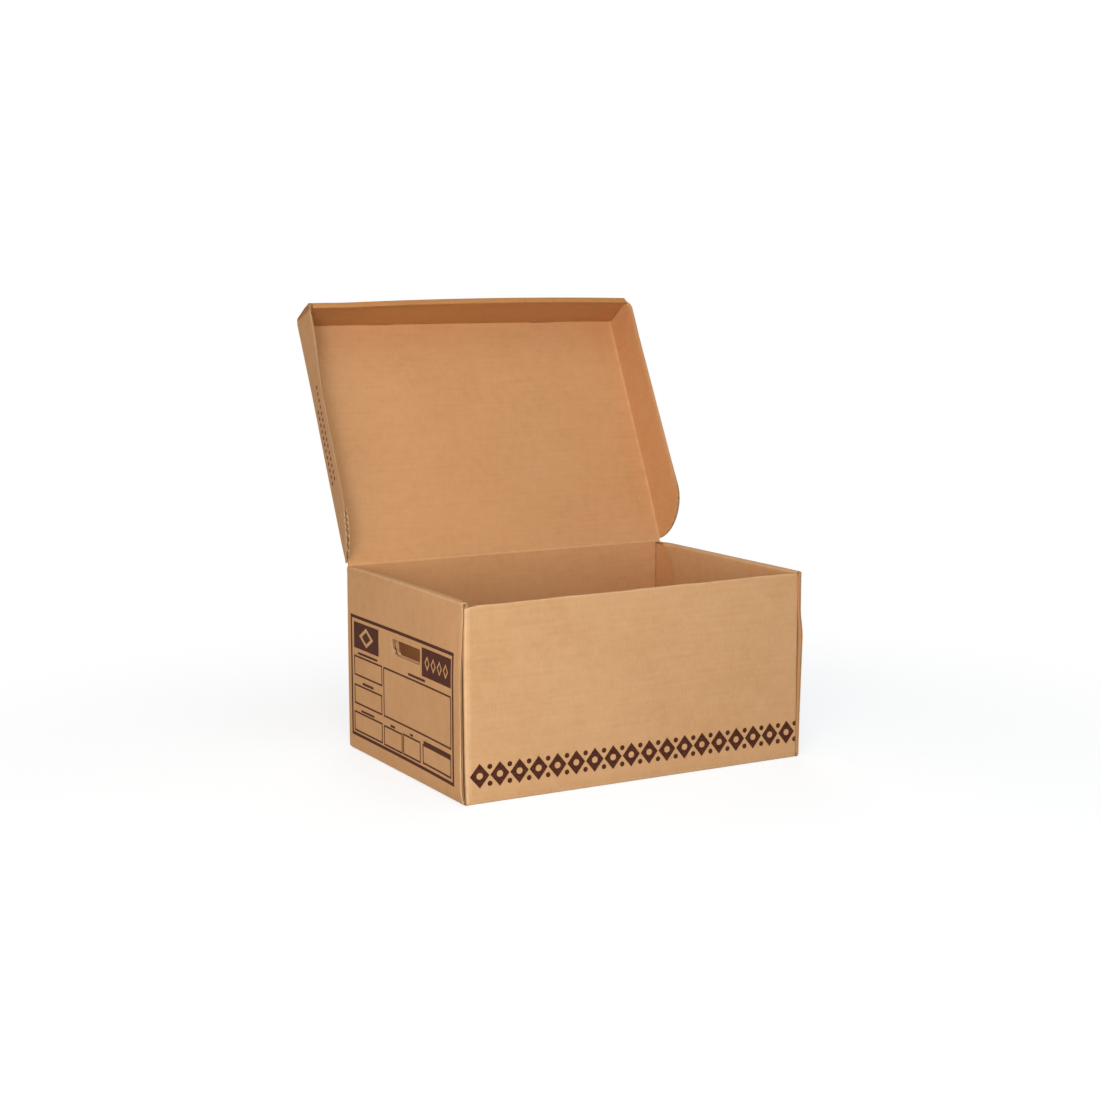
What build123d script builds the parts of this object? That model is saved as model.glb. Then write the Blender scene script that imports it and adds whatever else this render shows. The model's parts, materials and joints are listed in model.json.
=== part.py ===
from build123d import *
from math import radians, tan
import os

# Archive box with an attached lid, folded from corrugated board, in millimetres.
# X runs along the box, the front faces -Y, Z is up, and the origin is under the middle of the floor.

# Board and box, outside sizes
board = 4.0                # thickness of the corrugated board
box_length = 500.0         # over the two outer end panels
box_depth = 350.0          # front face to back face
box_height = 250.0         # floor to the top of the end rolls
fold_radius = 3.2          # outside of a folded corner
fit = 0.5                  # clearance of raw edges and of tabs in their slots
overrun = 20.0             # how far a cut runs past the board

# Long walls and the flaps at their ends
front_drop = 5.0           # front wall's edge below the end rolls
dip_length = 14.0          # the front edge dips towards each corner
dip_depth = 4.0
flap_length = 90.0
flap_drop = 10.0           # top of a corner flap below the end rolls
flap_taper = 12.0          # cut back at the free end of a flap

# End walls: an outer panel, a roll over the top and an inner panel
roll_height = 8.0          # depth of the rolled band's legs
roll_bend = 5.0            # outside of the rolled bend
roll_crease = 1.4          # inside of the rolled bend
shoulder_inset = 51.5      # long wall to the inner panel's straight edge
shoulder_crease = 21.0     # long wall to the inner panel's edge at the roll
shoulder_drop = 50.0       # top of the roll down to the straight edge
lock_length = 45.0         # lock tabs in the floor
lock_spread = 130.0        # between the middles of one end's two tabs
lock_bevel = 1.5

# Hand holes
hole_length = 84.0
hole_height = 20.5
hole_top = 172.5           # straight upper edge above the floor's underside
hole_forward = 13.0        # towards the front from the middle of the end
hole_round = 12.0          # lower corners
hole_corner = 2.0          # upper corners

# Lid
lid_open = 115.0           # degrees from closed, as it stands
lid_travel = 220.0         # degrees from closed to folded back
lid_gap = 0.5              # closed lid over the end rolls
lid_side_gap = 2.5         # side skirts outside the end walls
lid_front_gap = 1.0        # doubled front skirt before the front wall
skirt_height = 65.0        # lid's outer face to the free edge
skirt_rear_gap = 11.0      # hinge line to the side skirts
skirt_rear_round = 62.0
skirt_front_round = 6.0
lid_tab_length = 142.0
lid_tab_taper = 10.0
lid_lock_length = 41.0
lid_lock_spread = 264.0    # between the middles of the two lock tabs
crease_radius = 1.0        # rounded bead of the scored hinge line
crease_fit = 0.3           # clearance round the bead and between the folded edges
closed_fold = 90.0         # degrees between the back wall and the closed lid

# Faces of the layers, from the middle of the box outwards
half_length = box_length / 2
half_depth = box_depth / 2
wall_x = half_length - board
flap_x = wall_x - board
inner_x = flap_x - board
wall_y = half_depth - board
roll_base = box_height - roll_height
lid_x = half_length + lid_side_gap
skirt_x = lid_x + board
lid_inner_y = half_depth + lid_front_gap
lid_tab_y = lid_inner_y + board
lid_skirt_y = lid_tab_y + board
lid_front_y = lid_skirt_y + board
lid_under = box_height + lid_gap
lid_top = lid_under + board
skirt_edge = lid_top - skirt_height
lid_roll_base = skirt_edge + roll_height

# Hinge line, in the middle of the back wall's and the lid's thickness
hinge_y = half_depth - board / 2
hinge_z = lid_under + board / 2
neck_x = wall_x - fit

# Scoop of an inner end panel's shoulder: an arc that leaves the straight edge smoothly
inner_half = wall_y - shoulder_inset
scoop_run = shoulder_inset - shoulder_crease
scoop_radius = (scoop_run ** 2 + shoulder_drop ** 2) / (2 * scoop_run)

# Folding edges at the hinge: each is bevelled so that the lid clears at both limits
half_board = board / 2
inside_slope = tan(radians(closed_fold / 2))
outside_slope = tan(radians((360 - closed_fold - lid_travel) / 2))
edge_nose = crease_radius + crease_fit
edge_inside = half_board / inside_slope + crease_fit
edge_outside = half_board / outside_slope + crease_fit
nose_inside = crease_radius * inside_slope
nose_outside = crease_radius * outside_slope


# A rectangle given by its limits, drawn on the plane it is used on
def window(left, right, low, high):
    return Pos((left + right) / 2, (low + high) / 2) * Rectangle(right - left, high - low)


# An outline in Y and Z, extruded in X from one place to another
def across(outline, start, end):
    return extrude(Plane.YZ.offset(start) * outline, end - start)


# An outline in X and Z, extruded in Y from one place to another
def along(outline, start, end):
    return extrude(Plane.XZ.offset(-end) * outline, end - start)


def mirrored(piece):
    return mirror(piece, about=Plane.YZ)


# Hand hole through an end: straight above, well rounded below
def hand_hole():
    hole = window(-hole_length / 2, hole_length / 2, hole_top - hole_height, hole_top)
    corners = hole.vertices().group_by(Axis.Y)
    hole = fillet(corners[0], min(hole_round, hole_height - hole_corner - fit))
    corners = hole.vertices().group_by(Axis.Y)
    hole = fillet(corners[-1], hole_corner)
    return Pos(-hole_forward, 0) * hole


# Two tabs side by side, in the panel's own drawing, bevelled at the free end
def lock_tabs(length, spread, root, tip):
    half = length / 2
    tab = window(-half, half, min(root, tip), max(root, tip))
    free = tab.vertices().group_by(Axis.Y)[0 if tip < root else -1]
    tab = chamfer(free, lock_bevel)
    return Pos(spread / 2, 0) * tab + Pos(-spread / 2, 0) * tab


# Band rolled over an edge: two legs and a bend, longer in its outer leg than in the rest
def rolled_band(plane, outer_span, inner_span):
    width = 3 * board
    band = window(0, width, 0, roll_height)
    band = fillet(band.vertices().group_by(Axis.Y)[-1], roll_bend)
    slot = window(board, width - board, 0, roll_height - board)
    slot = fillet(slot.vertices().group_by(Axis.Y)[-1], roll_crease)
    band = band - slot
    leg = band & window(0, board, 0, roll_height)
    inner = extrude(plane * band, inner_span / 2, both=True)
    outer = extrude(plane * leg, outer_span / 2, both=True)
    return inner + outer


# Floor with the slots of the four lock tabs
def floor_panel():
    floor = extrude(Rectangle(2 * wall_x, 2 * wall_y), board)
    slot = Rectangle(board + 2 * fit, lock_length + 2 * fit)
    middle = (flap_x + inner_x) / 2
    for x in (-middle, middle):
        for y in (-lock_spread / 2, lock_spread / 2):
            floor -= Pos(x, y, -overrun) * extrude(slot, board + 2 * overrun)
    return floor


# Front wall: its upper edge dips at the corners, its folds are rounded outside
def front_wall():
    top = box_height - front_drop
    outline = make_face(Polyline(
        (-wall_x, 0), (wall_x, 0), (wall_x, top - dip_depth), (wall_x - dip_length, top),
        (dip_length - wall_x, top), (-wall_x, top - dip_depth), close=True))
    wall = along(outline, -half_depth, -wall_y)
    front_edges = wall.faces().sort_by(Axis.Y)[0].edges()
    folds = front_edges.filter_by(Axis.Z) + front_edges.filter_by(Axis.X).sort_by(Axis.Z)[:1]
    return fillet(folds, fold_radius)


# Back wall: its upper edge is bevelled both ways to fold at the hinge
def back_wall():
    section = make_face(Polyline(
        (wall_y, 0), (half_depth, 0), (half_depth, hinge_z - edge_outside),
        (hinge_y + nose_outside, hinge_z - edge_nose), (hinge_y - nose_inside, hinge_z - edge_nose),
        (wall_y, hinge_z - edge_inside), close=True))
    wall = across(section, -wall_x, wall_x)
    rear_edges = wall.faces().filter_by(Axis.Y).sort_by(Axis.Y)[-1].edges()
    folds = rear_edges.filter_by(Axis.Z) + rear_edges.filter_by(Axis.X).sort_by(Axis.Z)[:1]
    return fillet(folds, fold_radius)


# Outer end panel on the left, folded up from the floor
def wall_outer():
    outline = window(-half_depth, half_depth, 0, roll_base) - hand_hole()
    panel = across(outline, -half_length, -wall_x)
    fold = panel.faces().sort_by(Axis.X)[0].edges().filter_by(Axis.Y).sort_by(Axis.Z)[0]
    return fillet(fold, fold_radius)


# Two circles that scoop the shoulders of an inner end panel, in Y and Z
def shoulder_scoops():
    scoop = Circle(scoop_radius)
    middle = inner_half + scoop_radius
    height = box_height - shoulder_drop
    return Pos(-middle, height) * scoop + Pos(middle, height) * scoop


# Roll over the top of the left end
def wall_roll():
    plane = Plane((-half_length, 0, roll_base), x_dir=(1, 0, 0), z_dir=(0, -1, 0))
    roll = rolled_band(plane, box_depth, 2 * (wall_y - fit))
    leg = window(-half_depth, half_depth, roll_base, box_height - roll_bend)
    return roll - across(shoulder_scoops() & leg, -flap_x, -inner_x)


# Inner end panel on the left: scooped shoulders above, lock tabs below
def wall_inner():
    shoulder = box_height - shoulder_drop
    crease_half = wall_y - shoulder_crease
    outline = window(-inner_half, inner_half, board, shoulder)
    outline += window(-crease_half, crease_half, shoulder, roll_base)
    outline -= shoulder_scoops()
    outline += lock_tabs(lock_length, lock_spread, board, fit)
    return across(outline - hand_hole(), -flap_x, -inner_x)


# Flap of the front wall, trapped in the left end
def corner_flap():
    top = box_height - flap_drop
    root = -wall_y
    tip = flap_length - wall_y
    outline = make_face(Polyline(
        (root, board), (tip - flap_taper, board), (tip, board + flap_taper), (tip, top - flap_taper),
        (tip - flap_taper, top), (root, top), close=True))
    return across(outline, -wall_x, -flap_x)


# Scored line that the lid turns on
def lid_hinge_crease():
    bead = Pos(hinge_y, hinge_z) * Circle(crease_radius)
    return across(bead, -neck_x, neck_x)


# Lid's top board: bevelled at the hinge, narrowed there to the box's width, slotted at the front
def lid_panel():
    section = make_face(Polyline(
        (-lid_skirt_y, lid_under), (hinge_y - edge_inside, lid_under),
        (hinge_y - edge_nose, hinge_z - nose_inside), (hinge_y - edge_nose, hinge_z + nose_outside),
        (hinge_y - edge_outside, lid_top), (-lid_skirt_y, lid_top), close=True))
    corner = hinge_y - skirt_rear_gap
    neck = hinge_y - edge_outside
    outline = make_face(Polyline(
        (-lid_x, -lid_skirt_y), (lid_x, -lid_skirt_y), (lid_x, corner), (neck_x, neck), (neck_x, hinge_y),
        (-neck_x, hinge_y), (-neck_x, neck), (-lid_x, corner), close=True))
    panel = across(section, -lid_x, lid_x) & Pos(0, 0, lid_under) * extrude(outline, board)
    slot = Rectangle(lid_lock_length + 2 * fit, board + 2 * fit)
    middle = -(lid_inner_y + lid_tab_y) / 2
    for x in (-lid_lock_spread / 2, lid_lock_spread / 2):
        panel -= Pos(x, middle, lid_under - overrun) * extrude(slot, board + 2 * overrun)
    return panel


# Outer layer of the lid's front skirt, with raw ends
def lid_front_skirt():
    outline = window(-skirt_x, skirt_x, lid_roll_base, lid_top)
    skirt = along(outline, -lid_front_y, -lid_skirt_y)
    fold = skirt.faces().sort_by(Axis.Y)[0].edges().filter_by(Axis.X).sort_by(Axis.Z)[-1]
    return fillet(fold, fold_radius)


# Roll over the free edge of the lid's front skirt
def lid_front_roll():
    plane = Plane((0, -lid_front_y, lid_roll_base), x_dir=(0, 1, 0), z_dir=(-1, 0, 0))
    return rolled_band(plane, 2 * skirt_x, 2 * (lid_x - fit))


# Inner layer of the lid's front skirt, locked in the lid's top board
def lid_front_inner():
    outline = window(fit - lid_x, lid_x - fit, lid_roll_base, lid_under)
    outline += lock_tabs(lid_lock_length, lid_lock_spread, lid_under, lid_top - fit)
    return along(outline, -lid_tab_y, -lid_inner_y)


# Left side skirt: quarter-round behind, folded at the top and at the front
def lid_skirt():
    outline = window(-lid_skirt_y, hinge_y - skirt_rear_gap, skirt_edge, lid_top)
    low = outline.vertices().group_by(Axis.Y)[0].sort_by(Axis.X)
    outline = fillet(low[-1], min(skirt_rear_round, skirt_height - fit))
    low = outline.vertices().group_by(Axis.Y)[0].sort_by(Axis.X)
    outline = fillet(low[0], skirt_front_round)
    skirt = across(outline, -skirt_x, -lid_x)
    outer_edges = skirt.faces().sort_by(Axis.X)[0].edges()
    folds = outer_edges.filter_by(Axis.Y).sort_by(Axis.Z)[-1:]
    folds += outer_edges.filter_by(Axis.Z).sort_by(Axis.Y)[:1]
    return fillet(folds, fold_radius)


# Tab of the left side skirt, trapped inside the doubled front skirt
def lid_tab():
    low = skirt_edge + board + roll_crease
    tip = lid_tab_length - lid_x
    outline = make_face(Polyline(
        (-lid_x, low), (tip - lid_tab_taper, low), (tip, low + lid_tab_taper), (tip, lid_under - lid_tab_taper),
        (tip - lid_tab_taper, lid_under), (-lid_x, lid_under), close=True))
    return along(outline, -lid_skirt_y, -lid_tab_y)


# A lid piece turned from closed to where the lid stands
def opened(piece):
    hinge = Pos(0, hinge_y, hinge_z)
    return hinge * Rot(X=-lid_open) * hinge.inverse() * piece


front_left_flap = corner_flap()
back_left_flap = mirror(front_left_flap, about=Plane.XZ)

box_pieces = {
    "floor_panel": floor_panel(),
    "front_wall": front_wall(),
    "back_wall": back_wall(),
    "left_wall_outer": wall_outer(),
    "left_wall_roll": wall_roll(),
    "left_wall_inner": wall_inner(),
    "right_wall_outer": mirrored(wall_outer()),
    "right_wall_roll": mirrored(wall_roll()),
    "right_wall_inner": mirrored(wall_inner()),
    "front_left_corner_flap": front_left_flap,
    "front_right_corner_flap": mirrored(front_left_flap),
    "back_left_corner_flap": back_left_flap,
    "back_right_corner_flap": mirrored(back_left_flap),
    "lid_hinge_crease": lid_hinge_crease(),
}

lid_pieces = {
    "lid_panel": lid_panel(),
    "lid_front_skirt": lid_front_skirt(),
    "lid_front_roll": lid_front_roll(),
    "lid_front_inner": lid_front_inner(),
    "lid_left_skirt": lid_skirt(),
    "lid_right_skirt": mirrored(lid_skirt()),
    "lid_left_tab": lid_tab(),
    "lid_right_tab": mirrored(lid_tab()),
}

os.makedirs("parts", exist_ok=True)
for name, piece in box_pieces.items():
    export_step(piece, f"parts/{name}.step")
for name, piece in lid_pieces.items():
    export_step(opened(piece), f"parts/{name}.step")
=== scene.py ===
import bpy
import json
import numpy as np
from functools import partial
from math import cos, pi, radians, sin
from mathutils import Matrix, Vector

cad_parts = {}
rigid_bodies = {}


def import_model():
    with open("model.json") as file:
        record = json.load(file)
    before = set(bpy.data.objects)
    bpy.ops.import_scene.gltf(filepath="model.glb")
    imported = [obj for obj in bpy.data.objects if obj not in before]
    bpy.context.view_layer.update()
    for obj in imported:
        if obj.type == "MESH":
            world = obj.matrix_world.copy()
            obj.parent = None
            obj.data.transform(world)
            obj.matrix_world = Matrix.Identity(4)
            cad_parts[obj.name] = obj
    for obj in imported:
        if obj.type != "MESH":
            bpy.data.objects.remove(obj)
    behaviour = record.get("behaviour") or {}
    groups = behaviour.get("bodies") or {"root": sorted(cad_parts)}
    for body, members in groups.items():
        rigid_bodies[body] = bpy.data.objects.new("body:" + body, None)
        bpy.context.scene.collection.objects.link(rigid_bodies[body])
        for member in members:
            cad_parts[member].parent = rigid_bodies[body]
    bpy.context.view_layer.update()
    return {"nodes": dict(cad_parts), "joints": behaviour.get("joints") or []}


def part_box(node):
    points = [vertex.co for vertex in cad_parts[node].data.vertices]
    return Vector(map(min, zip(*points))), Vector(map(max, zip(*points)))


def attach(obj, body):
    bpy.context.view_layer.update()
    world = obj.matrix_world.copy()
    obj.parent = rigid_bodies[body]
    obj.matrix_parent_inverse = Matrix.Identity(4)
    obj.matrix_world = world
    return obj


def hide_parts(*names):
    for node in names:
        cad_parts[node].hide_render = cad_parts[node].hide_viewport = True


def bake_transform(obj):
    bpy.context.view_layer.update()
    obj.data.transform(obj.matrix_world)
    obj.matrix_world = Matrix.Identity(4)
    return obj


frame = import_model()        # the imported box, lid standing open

mm = 0.001
print("frame:", len(frame["nodes"]), "panels")


# small helpers for objects, nodes, colours and shares

def linked(name, data):
    thing = bpy.data.objects.new(name, data)
    bpy.context.scene.collection.objects.link(thing)
    return thing


def linear(code):
    parts = [int(code[k:k + 2], 16) / 255 for k in (1, 3, 5)]
    return (*[c / 12.92 if c <= 0.04045 else ((c + 0.055) / 1.055) ** 2.4 for c in parts], 1)


def addNode(tree, kind, inputs=None, **settings):       # a node given as an input is linked by its first output
    node = tree.nodes.new(kind)
    for key, value in settings.items():
        setattr(node, key, value)
    for key, value in (inputs or {}).items():
        value = value.outputs[0] if isinstance(value, bpy.types.Node) else value
        if isinstance(value, bpy.types.NodeSocket):
            tree.links.new(value, node.inputs[key])
        else:
            node.inputs[key].default_value = value
    return node


def newMaterial(name):
    material = bpy.data.materials.new(name)
    material.use_nodes = True
    material.node_tree.nodes.clear()
    return material, partial(addNode, material.node_tree)


def unit(t):
    return np.clip(t, 0, 1)


def ease(t):
    t = unit(t)
    return t * t * (3 - 2 * t)


# camera, fitted to the corners of the box in the photo

photoCamera = {"azimuth": -29.252, "elevation": 8.105, "roll": -0.141, "distance": 2.5778,
               "target": (-0.0330, 0, 0.2782), "lens": 63.572, "sensor": 36}


def addCamera(view):
    turn, rise, roll = (radians(view[k]) for k in ("azimuth", "elevation", "roll"))
    back = Vector((sin(turn) * cos(rise), -cos(turn) * cos(rise), sin(rise)))
    level = Vector((cos(turn), sin(turn), 0))
    upright = back.cross(level)
    right = cos(roll) * level + sin(roll) * upright
    up = cos(roll) * upright - sin(roll) * level
    lens = bpy.data.cameras.new("photoCamera")
    lens.lens, lens.sensor_width = view["lens"], view["sensor"]
    camera = linked("photoCamera", lens)
    stand = Matrix.Translation(Vector(view["target"]) + view["distance"] * back)
    camera.matrix_world = stand @ Matrix((right, up, back)).transposed().to_4x4()
    bpy.context.scene.camera = camera


addCamera(photoCamera)
bpy.context.scene.view_settings.view_transform = "Standard"
print("camera set")


# board: two liners with a fluted paper between them, sizes in mm

boardMake = {"thick": 4.0, "liner": 0.5, "fluting": 0.35, "pitch": 7.8, "stepsPerFlute": 10,
             "fold": 3.8, "foldColumns": 8, "foldWear": 0.6, "grid": 14.0, "leastRows": 4,
             "crush": 0.42, "crushReach": 2.6, "cutWear": 0.9, "cutReach": 0.9,
             "sharp": 38, "patch": 0.37, "patches": 11}

# the pale fold tone is worn paper, and on the front wall's left fold it is also painted highlight
kraftTones = {
    "outside": {"dark": "#bb8b5d", "mid": "#cda277", "light": "#d9b188", "scuff": "#efcfa6"},
    "inside": {"dark": "#ba8554", "mid": "#cc996b", "light": "#d6a679", "scuff": "#e2bb8f"},
    # painted shade: darker, more saturated liner tones for the lid's rolled front edge and inner flap, which
    # stand in shade
    "paintedShade": {"dark": "#ad7643", "mid": "#be8652", "light": "#c9935f", "scuff": "#d9ac7a"},
    "speck": "#94683f",
}
kraftGrain = {      # size along the flutes, across them and through the board in mm, then detail and roughness
    "clouds": (16, 16, 16, 5, 0.6), "fibres": (1.3, 14, 1, 3, 0.65), "drift": (140, 140, 140, 2, 0.5),
    "streaks": (70, 6, 1, 2, 0.5), "specks": (1.7, 1.7, 1.7, 1, 0.5),
}
kraftShares = {"clouds": 0.28, "fibres": 0.30, "drift": 0.24, "streaks": 0.14, "ribs": 0.009}


def paperRibs(add, place):     # the flutes glued underneath show through as faint ribs
    across = add("ShaderNodeSeparateXYZ", {"Vector": place}).outputs["Y"]
    turns = 2 * pi / (boardMake["pitch"] * mm)
    phase = add("ShaderNodeMath", {0: across, 1: turns}, operation="MULTIPLY")
    return add("ShaderNodeMath", {0: phase}, operation="SINE")


# Kraft linerboard, machine-made and uncoated: matt, cloudy, short fibres across the flutes, long streaks and
# faint ribs along them, paler where a fold is rubbed, and paler still on the front wall's left fold as painted
# highlight
def kraftLiner(name, tones):
    material, add = newMaterial(name)
    place = add("ShaderNodeAttribute", attribute_name="flatPlace").outputs["Vector"]
    wear = add("ShaderNodeAttribute", attribute_name="foldWear").outputs["Fac"]
    grain = {"ribs": paperRibs(add, place)}
    for layer, (*sizes, detail, rough) in kraftGrain.items():
        spread = add("ShaderNodeMapping", {"Vector": place, "Scale": [1 / (s * mm) for s in sizes]})
        noise = {"Vector": spread, "Scale": 1, "Detail": detail, "Roughness": rough}
        grain[layer] = add("ShaderNodeTexNoise", noise)
    clouds, fibres, ribs = grain["clouds"], grain["fibres"], grain["ribs"]

    tone = 0.02
    for layer, share in kraftShares.items():
        tone = add("ShaderNodeMath", {0: grain[layer], 1: share, 2: tone}, operation="MULTIPLY_ADD")
    ramp = add("ShaderNodeValToRGB", {"Fac": tone})
    ramp.color_ramp.elements.new(0.5)
    for stop, at, shade in zip(ramp.color_ramp.elements, (0.2, 0.5, 0.8), ("dark", "mid", "light")):
        stop.position, stop.color = at, linear(tones[shade])
    speckle = {"Value": grain["specks"], "From Min": 0.66, "From Max": 0.8, "To Max": 0.3}
    speckle = add("ShaderNodeMapRange", speckle)
    speck, scuff = linear(kraftTones["speck"]), linear(tones["scuff"])
    specked = add("ShaderNodeMix", {0: speckle, 6: ramp, 7: speck}, data_type="RGBA").outputs[2]
    rubbed = add("ShaderNodeMath", {0: clouds, 1: 1.1, 2: 0.1}, operation="MULTIPLY_ADD")
    rubbed = add("ShaderNodeMath", {0: rubbed, 1: wear}, operation="MULTIPLY", use_clamp=True)
    colour = add("ShaderNodeMix", {0: rubbed, 6: specked, 7: scuff}, data_type="RGBA").outputs[2]

    relief = add("ShaderNodeMath", {0: ribs, 1: 0.45, 2: fibres}, operation="MULTIPLY_ADD")
    bump = add("ShaderNodeBump", {"Height": relief, "Strength": 0.35, "Distance": 0.05 * mm})
    rough = add("ShaderNodeMapRange", {"Value": clouds, "To Min": 0.7, "To Max": 0.9})
    shader = add("ShaderNodeBsdfPrincipled", {"Base Color": colour, "Roughness": rough, "IOR": 1.47,
                                              "Specular IOR Level": 0.3, "Normal": bump})
    add("ShaderNodeOutputMaterial", {"Surface": shader})
    return material


flutingTones = {"dark": "#a57c54", "light": "#d0ad84", "torn": "#e6cba4", "cloud": 3}


# Recycled fluting medium: thinner, greyer brown than the liners, dull, pale where the die tore it
def flutingPaper():
    material, add = newMaterial("recycledFlutingPaper")
    dark, light, pale = (linear(flutingTones[k]) for k in ("dark", "light", "torn"))
    place = add("ShaderNodeAttribute", attribute_name="flatPlace").outputs["Vector"]
    clouds = add("ShaderNodeTexNoise", {"Vector": place, "Scale": 1 / (flutingTones["cloud"] * mm), "Detail": 4})
    colour = add("ShaderNodeMix", {0: clouds, 6: dark, 7: light}, data_type="RGBA").outputs[2]
    torn = add("ShaderNodeAttribute", attribute_name="foldWear").outputs["Fac"]
    colour = add("ShaderNodeMix", {0: torn, 6: colour, 7: pale}, data_type="RGBA").outputs[2]
    bump = add("ShaderNodeBump", {"Height": clouds, "Strength": 0.3, "Distance": 0.05 * mm})
    shader = add("ShaderNodeBsdfPrincipled", {"Base Color": colour, "Roughness": 0.9, "IOR": 1.47,
                                              "Specular IOR Level": 0.2, "Normal": bump})
    add("ShaderNodeOutputMaterial", {"Surface": shader})
    return material


inkTones = {"full": "#3d1b12", "thin": "#623a2a", "mottle": 2.6}


# Flexographic print in one dark brown: soaked into the liner, starved along the ribs, fairly matt
def flexoInk():
    material, add = newMaterial("flexoBrownInk")
    full, thin = linear(inkTones["full"]), linear(inkTones["thin"])
    place = add("ShaderNodeAttribute", attribute_name="flatPlace").outputs["Vector"]
    mottle = add("ShaderNodeTexNoise", {"Vector": place, "Scale": 1 / (inkTones["mottle"] * mm), "Detail": 4,
                                        "Roughness": 0.65})
    ribs = paperRibs(add, place)
    starved = add("ShaderNodeMath", {0: ribs, 1: 0.025, 2: mottle}, operation="MULTIPLY_ADD")
    starved = add("ShaderNodeMapRange", {"Value": starved, "From Min": 0.38, "From Max": 0.75})
    colour = add("ShaderNodeMix", {0: starved, 6: full, 7: thin}, data_type="RGBA").outputs[2]
    rough = add("ShaderNodeMapRange", {"Value": mottle, "To Min": 0.65, "To Max": 0.85})
    shader = add("ShaderNodeBsdfPrincipled", {"Base Color": colour, "Roughness": rough, "IOR": 1.5,
                                              "Specular IOR Level": 0.15})
    add("ShaderNodeOutputMaterial", {"Surface": shader})
    return material


outsideLiner = kraftLiner("kraftLinerOutside", kraftTones["outside"])
insideLiner = kraftLiner("kraftLinerInside", kraftTones["inside"])
paintedShadeLiner = kraftLiner("kraftLinerPaintedShade", kraftTones["paintedShade"])       # darker, more saturated brown: painted shade on the lid's rolled front edge and the inner flap beneath it
fluting = flutingPaper()
ink = flexoInk()
print("papers and ink made")


# Geometry Nodes: flat paper pressed into flutes, and one motif set out in a row

def newTree(name, sockets):
    tree = bpy.data.node_groups.new(name, "GeometryNodeTree")
    tree.interface.new_socket("Geometry", in_out="INPUT", socket_type="NodeSocketGeometry")
    for label, kind in sockets.items():
        tree.interface.new_socket(label, in_out="INPUT", socket_type="NodeSocket" + kind)
    tree.interface.new_socket("Geometry", in_out="OUTPUT", socket_type="NodeSocketGeometry")
    add = partial(addNode, tree)
    return tree, add, add("NodeGroupInput").outputs


def endTree(add, geometry, paper):
    real = add("GeometryNodeRealizeInstances", {"Geometry": geometry})
    dressed = add("GeometryNodeSetMaterial", {"Geometry": real, "Material": paper})
    add("NodeGroupOutput", {0: dressed})


def fluteTree():
    tree, add, given = newTree("pressFlutes", {"Pitch": "Float", "Rise": "Float", "Paper": "Material"})
    place = add("GeometryNodeInputPosition")
    across = add("ShaderNodeSeparateXYZ", {0: place}).outputs["Y"]
    turns = add("ShaderNodeMath", {0: across, 1: given["Pitch"]}, operation="DIVIDE")
    phase = add("ShaderNodeMath", {0: turns, 1: 2 * pi}, operation="MULTIPLY")
    wave = add("ShaderNodeMath", {0: phase}, operation="SINE")
    lift = add("ShaderNodeMath", {0: wave, 1: given["Rise"]}, operation="MULTIPLY")
    offset = add("ShaderNodeCombineXYZ", {"Z": lift})
    pressed = add("GeometryNodeSetPosition", {"Geometry": given["Geometry"], "Offset": offset})
    endTree(add, pressed, given["Paper"])
    return tree


def rowTree():
    sockets = {"Count": "Int", "Start": "Vector", "Spacing": "Vector", "Ink": "Material"}
    tree, add, given = newTree("motifRow", sockets)
    line = add("GeometryNodeMeshLine", {"Count": given["Count"], "Start Location": given["Start"],
                                        "Offset": given["Spacing"]})
    motifs = add("GeometryNodeInstanceOnPoints", {"Points": line, "Instance": given["Geometry"]})
    endTree(add, motifs, given["Ink"])
    return tree


def grown(tree, points, faces, values):     # plain mesh arrays out of a tree, from and to mm
    mesh = bpy.data.meshes.new("flat")
    mesh.from_pydata((points * mm).tolist(), [], faces.tolist())
    holder = linked("flat", mesh)
    modifier = holder.modifiers.new("flat", "NODES")
    modifier.node_group = tree
    for item in tree.interface.items_tree:
        if item.in_out == "INPUT" and item.name in values:
            modifier[item.identifier] = values[item.name]
    made = bpy.data.meshes.new_from_object(holder.evaluated_get(bpy.context.evaluated_depsgraph_get()))
    places = np.empty(len(made.vertices) * 3)
    made.vertices.foreach_get("co", places)
    quads = np.empty(len(made.loops), int)
    made.loops.foreach_get("vertex_index", quads)
    bpy.data.objects.remove(holder)
    for spare in (mesh, made):
        bpy.data.meshes.remove(spare)
    return places.reshape(-1, 3) / mm, quads.reshape(-1, 4)


pressFlutes = fluteTree()
motifRow = rowTree()
print("node trees made")


# flat board: a runs along the flutes, b across them, n in from the printed face, all in mm

def divided(stops, step, least):
    places = [stops[0]]
    for low, high in zip(stops, stops[1:]):
        count = max(least, int(np.ceil((high - low) / step)))
        places += [low + (high - low) * (k + 1) / count for k in range(count)]
    return np.array(places)


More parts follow.
